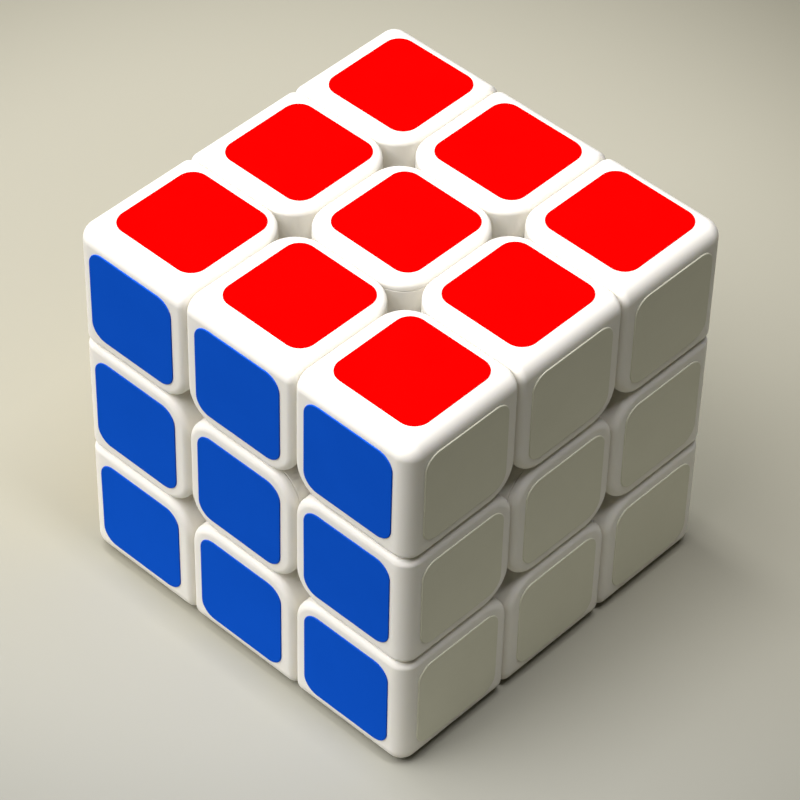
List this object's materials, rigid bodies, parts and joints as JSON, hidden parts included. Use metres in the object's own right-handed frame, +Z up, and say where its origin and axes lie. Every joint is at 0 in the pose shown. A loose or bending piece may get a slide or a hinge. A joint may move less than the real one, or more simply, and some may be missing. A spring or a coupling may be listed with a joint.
{
  "type": "twisty puzzle cube",
  "caption": "White-bodied twisty puzzle cube with coloured stickers; every outer layer turns about a spring-loaded six-armed core.",
  "frame": {"origin": "centre of the cube, where all six turning axes meet", "axes": "+Z up out of the red-stickered face, -Y out of the blue-stickered front face, +X out of the white-stickered right face"},
  "size_m": [0.056, 0.056, 0.056],
  "materials": {
    "white_plastic": "satin moulded",
    "inner_plastic": "satin moulded, greased",
    "core_plastic": "satin moulded",
    "screw_steel": "bright zinc plated",
    "spring_steel": "drawn wire",
    "red_vinyl": "smooth vinyl sticker",
    "blue_vinyl": "smooth vinyl sticker",
    "white_vinyl": "smooth vinyl sticker",
    "orange_vinyl": "smooth vinyl sticker",
    "green_vinyl": "smooth vinyl sticker",
    "yellow_vinyl": "smooth vinyl sticker"
  },
  "bodies": {
    "core": {"core_spider": "core_plastic", "core_screws": "screw_steel", "core_washers": "screw_steel", "core_springs": "spring_steel"},
    "center_up": {"center_up_base": "white_plastic", "center_up_cap": "white_plastic"},
    "center_down": {"center_down_base": "white_plastic", "center_down_cap": "white_plastic"},
    "center_front": {"center_front_base": "white_plastic", "center_front_cap": "white_plastic"},
    "center_back": {"center_back_base": "white_plastic", "center_back_cap": "white_plastic"},
    "center_right": {"center_right_base": "white_plastic", "center_right_cap": "white_plastic"},
    "center_left": {"center_left_base": "white_plastic", "center_left_cap": "white_plastic"},
    "edge_up_back": {"edge_up_back_shell": "white_plastic", "edge_up_back_foot": "inner_plastic"},
    "edge_up_front": {"edge_up_front_shell": "white_plastic", "edge_up_front_foot": "inner_plastic"},
    "edge_down_back": {"edge_down_back_shell": "white_plastic", "edge_down_back_foot": "inner_plastic"},
    "edge_down_front": {"edge_down_front_shell": "white_plastic", "edge_down_front_foot": "inner_plastic"},
    "edge_up_right": {"edge_up_right_shell": "white_plastic", "edge_up_right_foot": "inner_plastic"},
    "edge_up_left": {"edge_up_left_shell": "white_plastic", "edge_up_left_foot": "inner_plastic"},
    "edge_down_right": {"edge_down_right_shell": "white_plastic", "edge_down_right_foot": "inner_plastic"},
    "edge_down_left": {"edge_down_left_shell": "white_plastic", "edge_down_left_foot": "inner_plastic"},
    "edge_front_right": {"edge_front_right_shell": "white_plastic", "edge_front_right_foot": "inner_plastic"},
    "edge_front_left": {"edge_front_left_shell": "white_plastic", "edge_front_left_foot": "inner_plastic"},
    "edge_back_right": {"edge_back_right_shell": "white_plastic", "edge_back_right_foot": "inner_plastic"},
    "edge_back_left": {"edge_back_left_shell": "white_plastic", "edge_back_left_foot": "inner_plastic"},
    "corner_up_front_right": {"corner_up_front_right_shell": "white_plastic", "corner_up_front_right_foot": "inner_plastic"},
    "corner_up_front_left": {"corner_up_front_left_shell": "white_plastic", "corner_up_front_left_foot": "inner_plastic"},
    "corner_up_back_right": {"corner_up_back_right_shell": "white_plastic", "corner_up_back_right_foot": "inner_plastic"},
    "corner_up_back_left": {"corner_up_back_left_shell": "white_plastic", "corner_up_back_left_foot": "inner_plastic"},
    "corner_down_front_right": {"corner_down_front_right_shell": "white_plastic", "corner_down_front_right_foot": "inner_plastic"},
    "corner_down_front_left": {"corner_down_front_left_shell": "white_plastic", "corner_down_front_left_foot": "inner_plastic"},
    "corner_down_back_right": {"corner_down_back_right_shell": "white_plastic", "corner_down_back_right_foot": "inner_plastic"},
    "corner_down_back_left": {"corner_down_back_left_shell": "white_plastic", "corner_down_back_left_foot": "inner_plastic"}
  },
  "joints": [
    {"name": "up_turn", "type": "hinge", "parent": "core", "child": "center_up", "pos_m": [0, 0, 0], "axis": [0, 0, 1], "continuous": true},
    {"name": "down_turn", "type": "hinge", "parent": "core", "child": "center_down", "pos_m": [0, 0, 0], "axis": [0, 0, 1], "continuous": true},
    {"name": "front_turn", "type": "hinge", "parent": "core", "child": "center_front", "pos_m": [0, 0, 0], "axis": [0, 1, 0], "continuous": true},
    {"name": "back_turn", "type": "hinge", "parent": "core", "child": "center_back", "pos_m": [0, 0, 0], "axis": [0, 1, 0], "continuous": true},
    {"name": "right_turn", "type": "hinge", "parent": "core", "child": "center_right", "pos_m": [0, 0, 0], "axis": [1, 0, 0], "continuous": true},
    {"name": "left_turn", "type": "hinge", "parent": "core", "child": "center_left", "pos_m": [0, 0, 0], "axis": [1, 0, 0], "continuous": true},
    {"name": "edge_up_back_track", "type": "hinge", "parent": "center_up", "child": "edge_up_back", "pos_m": [0, 0, 0], "axis": [0, 1, 0], "continuous": true},
    {"name": "edge_up_front_track", "type": "hinge", "parent": "center_up", "child": "edge_up_front", "pos_m": [0, 0, 0], "axis": [0, 1, 0], "continuous": true},
    {"name": "edge_down_back_track", "type": "hinge", "parent": "center_down", "child": "edge_down_back", "pos_m": [0, 0, 0], "axis": [0, 1, 0], "continuous": true},
    {"name": "edge_down_front_track", "type": "hinge", "parent": "center_down", "child": "edge_down_front", "pos_m": [0, 0, 0], "axis": [0, 1, 0], "continuous": true},
    {"name": "edge_up_right_track", "type": "hinge", "parent": "center_right", "child": "edge_up_right", "pos_m": [0, 0, 0], "axis": [0, 0, 1], "continuous": true},
    {"name": "edge_up_left_track", "type": "hinge", "parent": "center_left", "child": "edge_up_left", "pos_m": [0, 0, 0], "axis": [0, 0, 1], "continuous": true},
    {"name": "edge_down_right_track", "type": "hinge", "parent": "center_right", "child": "edge_down_right", "pos_m": [0, 0, 0], "axis": [0, 0, 1], "continuous": true},
    {"name": "edge_down_left_track", "type": "hinge", "parent": "center_left", "child": "edge_down_left", "pos_m": [0, 0, 0], "axis": [0, 0, 1], "continuous": true},
    {"name": "edge_front_right_track", "type": "hinge", "parent": "center_front", "child": "edge_front_right", "pos_m": [0, 0, 0], "axis": [1, 0, 0], "continuous": true},
    {"name": "edge_front_left_track", "type": "hinge", "parent": "center_front", "child": "edge_front_left", "pos_m": [0, 0, 0], "axis": [1, 0, 0], "continuous": true},
    {"name": "edge_back_right_track", "type": "hinge", "parent": "center_back", "child": "edge_back_right", "pos_m": [0, 0, 0], "axis": [1, 0, 0], "continuous": true},
    {"name": "edge_back_left_track", "type": "hinge", "parent": "center_back", "child": "edge_back_left", "pos_m": [0, 0, 0], "axis": [1, 0, 0], "continuous": true},
    {"name": "corner_up_front_right_track", "type": "hinge", "parent": "edge_up_front", "child": "corner_up_front_right", "pos_m": [0, 0, 0], "axis": [1, 0, 0], "continuous": true},
    {"name": "corner_up_front_left_track", "type": "hinge", "parent": "edge_up_front", "child": "corner_up_front_left", "pos_m": [0, 0, 0], "axis": [1, 0, 0], "continuous": true},
    {"name": "corner_up_back_right_track", "type": "hinge", "parent": "edge_up_back", "child": "corner_up_back_right", "pos_m": [0, 0, 0], "axis": [1, 0, 0], "continuous": true},
    {"name": "corner_up_back_left_track", "type": "hinge", "parent": "edge_up_back", "child": "corner_up_back_left", "pos_m": [0, 0, 0], "axis": [1, 0, 0], "continuous": true},
    {"name": "corner_down_front_right_track", "type": "hinge", "parent": "edge_down_front", "child": "corner_down_front_right", "pos_m": [0, 0, 0], "axis": [1, 0, 0], "continuous": true},
    {"name": "corner_down_front_left_track", "type": "hinge", "parent": "edge_down_front", "child": "corner_down_front_left", "pos_m": [0, 0, 0], "axis": [1, 0, 0], "continuous": true},
    {"name": "corner_down_back_right_track", "type": "hinge", "parent": "edge_down_back", "child": "corner_down_back_right", "pos_m": [0, 0, 0], "axis": [1, 0, 0], "continuous": true},
    {"name": "corner_down_back_left_track", "type": "hinge", "parent": "edge_down_back", "child": "corner_down_back_left", "pos_m": [0, 0, 0], "axis": [1, 0, 0], "continuous": true}
  ],
  "couplings": [
    {"joint": "edge_up_back_track", "follows": "back_turn", "ratio": 1},
    {"joint": "edge_up_front_track", "follows": "front_turn", "ratio": 1},
    {"joint": "edge_down_back_track", "follows": "back_turn", "ratio": 1},
    {"joint": "edge_down_front_track", "follows": "front_turn", "ratio": 1},
    {"joint": "edge_up_right_track", "follows": "up_turn", "ratio": 1},
    {"joint": "edge_up_left_track", "follows": "up_turn", "ratio": 1},
    {"joint": "edge_down_right_track", "follows": "down_turn", "ratio": 1},
    {"joint": "edge_down_left_track", "follows": "down_turn", "ratio": 1},
    {"joint": "edge_front_right_track", "follows": "right_turn", "ratio": 1},
    {"joint": "edge_front_left_track", "follows": "left_turn", "ratio": 1},
    {"joint": "edge_back_right_track", "follows": "right_turn", "ratio": 1},
    {"joint": "edge_back_left_track", "follows": "left_turn", "ratio": 1},
    {"joint": "corner_up_front_right_track", "follows": "right_turn", "ratio": 1},
    {"joint": "corner_up_front_left_track", "follows": "left_turn", "ratio": 1},
    {"joint": "corner_up_back_right_track", "follows": "right_turn", "ratio": 1},
    {"joint": "corner_up_back_left_track", "follows": "left_turn", "ratio": 1},
    {"joint": "corner_down_front_right_track", "follows": "right_turn", "ratio": 1},
    {"joint": "corner_down_front_left_track", "follows": "left_turn", "ratio": 1},
    {"joint": "corner_down_back_right_track", "follows": "right_turn", "ratio": 1},
    {"joint": "corner_down_back_left_track", "follows": "left_turn", "ratio": 1}
  ]
}
